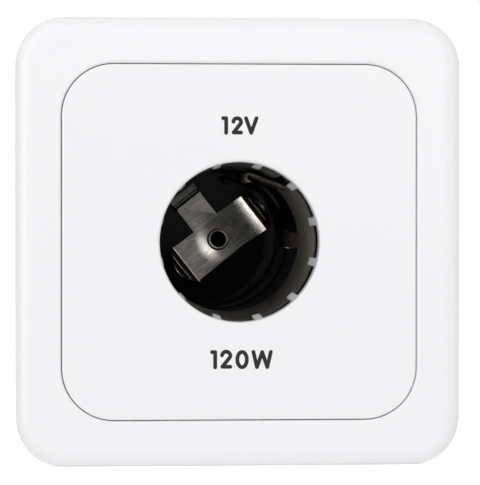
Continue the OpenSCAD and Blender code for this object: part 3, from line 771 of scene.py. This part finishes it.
class SOCKET_OT_cup(bpy.types.Operator):
    """Moulds the cup: mouth, pocket of the ground ring, well, floor, flange and threaded barrel"""

    bl_idname = "socket.cup"
    bl_label = "Cup"

    def execute(self, context):
        s = sizes_of(context)
        barrel, root, core = 13.1, 12.62, 12.5
        end, floor_top, top = CUP_LOW.z, CUP_LOW.z + 9.5, CUP_HIGH.z
        thread_top, thread_foot = -0.6, -29.0
        bm = bmesh.new()
        revolve(bm, [
            (0.0, FLOOR_BACK), (11.8, FLOOR_BACK), (11.8, end), (barrel, end),
            (barrel, thread_foot - 0.8), (root, thread_foot - 0.2), (root, thread_top + 0.2),
            (barrel, thread_top + 0.7), (barrel, 2.6), (16.5, 2.6), (16.5, 4.2), (barrel, 4.2),
            (barrel, top), (10.9, top), (10.9, 2.05), (11.3, 2.05), (11.3, -13.85),
            (10.3, -13.85), (10.3, floor_top), (0.0, floor_top),
        ], steps=120)
        rear = [
            e for e in sharp(bm, 50)
            if all(abs(v.co.z - end) < 0.01 and math.hypot(v.co.x, v.co.y) > core for v in e.verts)
        ]
        soften(bm, rear, 0.8, 5)
        soften(bm, sharp(bm, 50), 0.14, 3)
        cutters = bmesh.new()
        under, over = FLOOR_BACK - 1, floor_top + 1
        rod(cutters, 0, 0, under, over, 1.325, 32)
        leg_r, link_in, link_out = 10.15, 7.0, 8.35
        block(cutters, (leg_r - 0.45, -1.3, under), (leg_r + 0.05, 1.3, over))
        block(cutters, (link_in - 0.11, -2.5, under), (link_out, 2.5, over), LINK_TURN)
        for turn in (0.0, LINK_TURN):
            x, y = SCREW_R * math.cos(turn), SCREW_R * math.sin(turn)
            rod(cutters, x, y, under, FLOOR_BACK + 5.3, 1.55)
        for i in range(s["rib_count"]):
            a = math.tau * (i + 0.5) / s["rib_count"]
            block(cutters, (9.8, -0.625, 1.95), (11.47, 0.625, top + 1), a)
        bm = carve(bm, cutters)
        half = s["thread_pitch"] / 2
        tooth = [(core, -0.62), (barrel, -0.14), (barrel, 0.14), (core, 0.62)]
        thread = bmesh.new()
        section = [thread.verts.new((r, 0, thread_top + z * half)) for r, z in tooth]
        face = thread.faces.new(section)
        turns = (thread_top - thread_foot) / s["thread_pitch"]
        steps = round(turns * 60)
        bmesh.ops.spin(
            thread, geom=section + list(face.edges) + [face], cent=(0, 0, 0),
            axis=(0, 0, 1), dvec=(0, 0, -(thread_top - thread_foot) / steps),
            angle=math.tau * turns, steps=steps, use_merge=False, use_duplicate=False,
        )
        for v in thread.verts:          # the thread runs out into the barrel at both ends
            r = math.hypot(v.co.x, v.co.y)
            run = min(thread_top - v.co.z, v.co.z - thread_foot) + half
            share = max(0.0, min(1.0, run / (0.8 * s["thread_pitch"])))
            new_r = core + (r - core) * share
            v.co.x *= new_r / r
            v.co.y *= new_r / r
        join(bm, thread)
        black = moulded_black(
            "pbt_polished_black", context.scene.socket_finishes.cup_black, 0.04, 0.03)
        put(bm, "socket_cup_moulding", black, "cup_black", "socket_cup", smooth=42)
        return {"FINISHED"}


class SOCKET_OT_ring_nut(bpy.types.Operator):
    """Makes the ring nut, the toothed washer and the gasket that hold the cup"""

    bl_idname = "socket.ring_nut"
    bl_label = "Ring nut, washer and gasket"

    def execute(self, context):
        finishes = context.scene.socket_finishes
        foot, top, outer, bore = NUT_LOW.z, NUT_HIGH.z, NUT_HIGH.x, 13.15
        bm = bmesh.new()
        revolve(bm, [
            (bore, foot), (outer - 1.0, foot), (outer - 1.0, top - 1.4), (outer, top - 1.4),
            (outer, top), (bore, top),
        ], closed=True)
        soften(bm, sharp(bm, 50), 0.25, 3)
        grips = bmesh.new()
        for i in range(18):
            turn = math.tau * (i + 0.5) / 18
            block(grips, (outer - 2, -0.8, foot), (outer - 0.6, 0.8, top - 0.7), turn)
        soften(grips, sharp(grips), 0.28, 3)
        join(bm, grips)
        nylon = moulded_black("nylon_satin_black", finishes.nut_black, 0.32, 0.12)
        put(bm, "ring_nut", nylon, "nut_black", "cup_nut")

        bm = bmesh.new()
        revolve(bm, [(14.1, -0.8), (16.3, -0.8), (16.3, 0.0), (14.1, 0.0)], closed=True)
        soften(bm, sharp(bm, 50), 0.08, 2)
        for i in range(16):
            turn = math.tau * i / 16
            made = block(bm, (13.3, -0.9, -0.8), (14.4, 0.9, 0.0), turn)
            outwards = Vector((math.cos(turn), math.sin(turn), 0))
            lean = Matrix.Rotation(math.radians(9), 3, outwards)
            centre = sum((v.co for v in made), Vector()) / len(made)
            bmesh.ops.scale(bm, vec=(1, 1, 0.62), space=Matrix.Translation(-centre), verts=made)
            bmesh.ops.rotate(bm, cent=centre, matrix=lean, verts=made)
        zinc = plated_metal(
            "zinc_plated_steel_washer", finishes.zinc, 0.34, (1, 1, 1), (0, 0, 0), 0.86)
        put(bm, "lock_washer", zinc, "zinc_steel", "cup_washer")

        bm = bmesh.new()
        revolve(bm, [(13.3, 1.8), (16.2, 1.8), (16.2, 2.6), (13.3, 2.6)], closed=True)
        soften(bm, sharp(bm, 50), 0.15, 3)
        rubber = cut_rubber("nitrile_rubber_sheet", finishes.rubber)
        put(bm, "gasket", rubber, "gasket_rubber", "flange_gasket")
        return {"FINISHED"}


class SOCKET_OT_ground_ring(bpy.types.Operator):
    """Makes the sprung ground ring with its tongue, its leg and its foot"""

    bl_idname = "socket.ground_ring"
    bl_label = "Ground ring"

    def execute(self, context):
        bm = copy_node("ground_ring")
        soften(bm, sharp(bm, 50), 0.12, 3)
        nickel = plated_metal(
            "nickel_plated_bronze_ring", context.scene.socket_finishes.ring_nickel,
            0.4, (0.03, 1.0, 0.03), (0, 0, 0), 0.82, brushed=0.9)
        put(bm, "ground_ring_sheet", nickel, "spring_nickel", "ground_ring")
        return {"FINISHED"}


class SOCKET_OT_center_contact(bpy.types.Operator):
    """Makes the contact strip with its clip fingers, and the link through the floor"""

    bl_idname = "socket.center_contact"
    bl_label = "Centre contact and link"

    def execute(self, context):
        bm = copy_node("center_contact")
        soften(bm, sharp(bm, 50), 0.15, 3, clamp=False)
        nickel = context.scene.socket_finishes.nickel
        rolled = plated_metal(
            "nickel_plated_bronze_strip", nickel, 0.2, (0.03, 1.0, 1.0), (0, STRIP_TURN, 0), 0.8,
            pressed=True)
        put(bm, "contact_strip", rolled, "spring_nickel", "center_contact")
        bm = copy_node("center_link")
        soften(bm, sharp(bm, 50), 0.1, 3)
        # the link's darker nickel is painted shade under the contact arm
        link_shaded = plated_metal(
            "nickel_plated_bronze_link", context.scene.socket_finishes.link_nickel,
            0.26, (0.03, 1.0, 1.0), (0, STRIP_TURN, 0), 0.8)
        put(bm, "contact_link", link_shaded, "spring_nickel", "center_link")
        return {"FINISHED"}


class SOCKET_OT_rivet(bpy.types.Operator):
    """Makes the hollow rivet and the washer under its rolled end"""

    bl_idname = "socket.rivet"
    bl_label = "Hollow rivet and washer"

    def execute(self, context):
        finishes = context.scene.socket_finishes
        bore, shank, head = 1.025, 1.275, RIVET_HIGH.x
        top, foot = RIVET_HIGH.z, RIVET_LOW.z
        seat = top - 0.4
        bm = bmesh.new()
        revolve(bm, [
            (0.0, foot + 2.8), (0.55, foot + 2.75), (0.75, foot + 2.5), (bore, foot + 2.5),
            (bore, top - 0.25), (bore + 0.06, top - 0.08), (bore + 0.17, top),
            (head - 0.12, top - 0.03), (head - 0.02, top - 0.13), (head, top - 0.25), (head, seat),
            (shank, seat), (shank, foot + 0.4), (shank + 0.35, foot + 0.35),
            (shank + 0.35, foot + 0.1), (shank + 0.2, foot), (0.0, foot),
        ], steps=64)
        # bore= paints near-black shade down the rivet's hole
        nickel = plated_metal(
            "nickel_plated_brass_rivet", finishes.nickel, 0.2, (1, 1, 1), (0, 0, 0), 0.86,
            bore=bore + 0.02)
        put(bm, "hollow_rivet", nickel, "rivet_nickel", "center_rivet", smooth=50)

        bm = bmesh.new()
        inner, outer, foot = 1.33, 2.575, FLOOR_BACK - 0.35
        revolve(bm, [
            (inner, foot), (outer, foot), (outer, FLOOR_BACK), (inner, FLOOR_BACK),
        ], steps=64, closed=True)
        soften(bm, sharp(bm, 50), 0.06, 2)
        zinc = plated_metal(
            "zinc_plated_steel_disc", finishes.zinc, 0.3, (1, 1, 1), (0, 0, 0), 0.88)
        put(bm, "rivet_washer", zinc, "zinc_steel", "center_washer")
        return {"FINISHED"}


class SOCKET_OT_terminals(bpy.types.Operator):
    """Makes the two blade terminals, their screws and their washers"""

    bl_idname = "socket.terminals"
    bl_label = "Blade terminals"

    def execute(self, context):
        finishes = context.scene.socket_finishes
        for node, name, turn in (
            ("ground_tab", "ground_blade", 0.0), ("center_tab", "center_blade", LINK_TURN),
        ):
            bm = copy_node(node)
            soften(bm, sharp(bm, 50), 0.1, 2)
            plated = plated_metal(
                "nickel_plated_brass_" + name, finishes.nickel, 0.25, (1.0, 0.03, 1.0),
                (0, turn, 0), 0.78)
            put(bm, name, plated, "blade_nickel", node)
        tab_back, head_top, tip = FLOOR_BACK - 1.2, FLOOR_BACK - 1.8, FLOOR_BACK + 5.2
        screws, washers = bmesh.new(), bmesh.new()
        for turn in (0.0, LINK_TURN):
            x, y = SCREW_R * math.cos(turn), SCREW_R * math.sin(turn)
            one = bmesh.new()
            revolve(one, [
                (0.0, head_top - 1.86), (1.5, head_top - 1.8), (2.35, head_top - 1.4),
                (2.7, head_top - 0.75), (2.77, head_top - 0.25), (2.77, head_top), (1.5, head_top),
                (1.5, tip - 0.3), (1.2, tip), (0.0, tip),
            ], steps=48)
            slot_cut = bmesh.new()
            block(slot_cut, (-4, -0.4, head_top - 3), (4, 0.4, head_top - 0.96), turn + 0.9)
            one = carve(one, slot_cut)
            bmesh.ops.translate(one, vec=(x, y, 0), verts=one.verts)
            join(screws, one)
            two = bmesh.new()
            revolve(two, [
                (1.65, head_top), (3.0, head_top), (3.0, tab_back), (1.65, tab_back),
            ], steps=48, closed=True)
            soften(two, sharp(two, 50), 0.08, 2)
            bmesh.ops.translate(two, vec=(x, y, 0), verts=two.verts)
            join(washers, two)
        zinc = plated_metal(
            "zinc_plated_steel_screw", finishes.zinc, 0.28, (1, 1, 1), (0, 0, 0), 0.85)
        put(screws, "terminal_screws", zinc, "zinc_steel", "tab_screws")
        put(washers, "terminal_washers", zinc, "zinc_steel", "tab_washers")
        return {"FINISHED"}


def seen_or_mirrored(tree):
    """1 for camera, glossy and transmission rays, 0 for the rays that only light things."""
    path = add(tree, "ShaderNodeLightPath")
    first = add(tree, "ShaderNodeMath", {
        0: path.outputs["Is Camera Ray"], 1: path.outputs["Is Glossy Ray"],
    }, operation="MAXIMUM")
    return add(tree, "ShaderNodeMath", {
        0: first.outputs[0], 1: path.outputs["Is Transmission Ray"],
    }, operation="MAXIMUM").outputs[0]


def glow(name, strength):
    """A plain lit surface of a softbox or the dark of the room behind the camera."""
    material, tree, _ = start(name)
    lamp = add(tree, "ShaderNodeEmission", {"Color": (1, 1, 1, 1), "Strength": strength})
    add(tree, "ShaderNodeOutputMaterial", {"Surface": lamp.outputs["Emission"]})
    return material


def card(name, low, high, y, strength):
    """An upright card in front of the object, which only its reflections show. low and high are
    two corners (x, z), and with y they are in millimetres."""
    bm = bmesh.new()
    corners = ((low[0], low[1]), (high[0], low[1]), (high[0], high[1]), (low[0], high[1]))
    bm.faces.new([bm.verts.new((x * MM, y * MM, z * MM)) for x, z in corners])
    mesh = bpy.data.meshes.new(name)
    bm.to_mesh(mesh)
    bm.free()
    mesh.materials.append(glow(name, strength))
    made = bpy.data.objects.new(name, mesh)
    bpy.context.scene.collection.objects.link(made)
    made.visible_camera = False
    made.visible_diffuse = False
    made.visible_shadow = False
    made.visible_transmission = False


class SOCKET_OT_stage(bpy.types.Operator):
    """Sets the pale floor, the even light, the softbox and the camera"""

    bl_idname = "socket.stage"
    bl_label = "Stage"

    def execute(self, context):
        scene = context.scene
        stage = scene.socket_stage
        scene.view_settings.view_transform = "Standard"

        world = bpy.data.worlds.new("studio_white")
        scene.world = world
        world.use_nodes = True
        tree = world.node_tree
        tree.nodes.clear()
        level = add(tree, "ShaderNodeMapRange", {
            "Value": seen_or_mirrored(tree), "To Min": stage.ambient, "To Max": 1.0,
        })
        sky = add(tree, "ShaderNodeBackground", {
            "Color": (1, 1, 1, 1), "Strength": level.outputs["Result"],
        })
        add(tree, "ShaderNodeOutputWorld", {"Surface": sky.outputs["Background"]})

        bm = bmesh.new()
        bmesh.ops.create_circle(bm, cap_ends=True, segments=96, radius=6.0)
        bmesh.ops.translate(bm, vec=(0, 0, cad_low.z), verts=bm.verts)
        mesh = bpy.data.meshes.new("floor")
        bm.to_mesh(mesh)
        bm.free()
        material, tree, _ = start("floor_paper_white")
        pale = add(tree, "ShaderNodeMix", {
            0: seen_or_mirrored(tree), 6: (0.82, 0.82, 0.82, 1), 7: (1, 1, 1, 1),
        }, data_type="RGBA")
        paper = add(tree, "ShaderNodeBsdfDiffuse", {"Color": pale.outputs[2]})
        lift = add(tree, "ShaderNodeMapRange", {
            "Value": seen_or_mirrored(tree), "To Min": 0.22, "To Max": 0.5,
        })
        shine = add(tree, "ShaderNodeEmission", {
            "Color": (1, 1, 1, 1), "Strength": lift.outputs["Result"],
        })
        both = add(tree, "ShaderNodeAddShader", {
            0: paper.outputs["BSDF"], 1: shine.outputs["Emission"],
        })
        add(tree, "ShaderNodeOutputMaterial", {"Surface": both.outputs["Shader"]})
        mesh.materials.append(material)
        floor = bpy.data.objects.new("floor", mesh)
        scene.collection.objects.link(floor)
        floor.visible_glossy = False        # or it would mirror white in the strip

        target = Vector((0, cad_low.y, 0))
        lamp = bpy.data.lights.new("softbox", "AREA")
        lamp.shape = "RECTANGLE"
        lamp.size, lamp.size_y = 0.7, 0.5
        lamp.energy = stage.key
        light = bpy.data.objects.new("softbox", lamp)
        light.location = (-0.1, -0.66, 0.53)
        light.visible_glossy = False        # the cards make every reflection
        light.rotation_euler = (target - light.location).to_track_quat("-Z", "Y").to_euler()
        scene.collection.objects.link(light)

        # The strip's right half and the cup's floor mirror the dark room, and the left half the
        # dim edge of the window. The window gives the crescent beside the rivet, the low
        # reflector the glint on the rising end, and the left window the ring's right side.
        card("room_behind_camera", (-340, -900), (700, 2400), -600, 0.02)
        card("window_edge", (-150, -8.5), (52.6, 150), -590, 0.11)
        card("window", (82, 0), (235, 195), -580, 2.4)
        card("low_reflector", (-240, -240), (-128, -128), -580, 5.0)
        card("left_window", (-900, -100), (-240, 90), -170, 3.2)

        camera = bpy.data.cameras.new("camera")
        camera.lens = stage.lens
        camera.sensor_width = 36.0
        camera.clip_start, camera.clip_end = 0.01, 20.0
        eye = bpy.data.objects.new("camera", camera)
        eye.location = (stage.camera_x, cad_low.y - stage.camera_off, stage.camera_z)
        aim = Vector((0.013 * MM, cad_low.y, -0.054 * MM))
        eye.rotation_euler = (aim - eye.location).to_track_quat("-Z", "Y").to_euler()
        scene.collection.objects.link(eye)
        scene.camera = eye
        return {"FINISHED"}


PIECE_OPERATORS = (
    SOCKET_OT_cover_frame,
    SOCKET_OT_face_plate,
    SOCKET_OT_lettering,
    SOCKET_OT_mounting_frame,
    SOCKET_OT_cup,
    SOCKET_OT_ring_nut,
    SOCKET_OT_ground_ring,
    SOCKET_OT_center_contact,
    SOCKET_OT_rivet,
    SOCKET_OT_terminals,
    SOCKET_OT_stage,
)


class SOCKET_PT_sidebar(bpy.types.Panel):
    """Lists the socket's sizes, colours and pieces"""

    bl_idname = "SOCKET_PT_sidebar"
    bl_label = "Power socket"
    bl_space_type = "VIEW_3D"
    bl_region_type = "UI"
    bl_category = "Socket"

    def draw(self, context):
        layout = self.layout
        for group in (
            context.scene.socket_sizes, context.scene.socket_finishes, context.scene.socket_stage,
        ):
            box = layout.box()
            for name in type(group).__annotations__:
                box.prop(group, name)
        for operator in PIECE_OPERATORS:
            layout.operator(operator.bl_idname)


CLASSES = (SocketSizes, SocketFinishes, SocketStage, *PIECE_OPERATORS, SOCKET_PT_sidebar)


def register():
    for item in CLASSES:
        bpy.utils.register_class(item)
    bpy.types.Scene.socket_sizes = PointerProperty(type=SocketSizes)
    bpy.types.Scene.socket_finishes = PointerProperty(type=SocketFinishes)
    bpy.types.Scene.socket_stage = PointerProperty(type=SocketStage)


def unregister():
    for name in ("socket_stage", "socket_finishes", "socket_sizes"):
        delattr(bpy.types.Scene, name)
    for item in reversed(CLASSES):
        bpy.utils.unregister_class(item)


def main():
    register()
    for operator in PIECE_OPERATORS:
        group, name = operator.bl_idname.split(".")
        getattr(getattr(bpy.ops, group), name)()


if __name__ == "__main__":
    main()
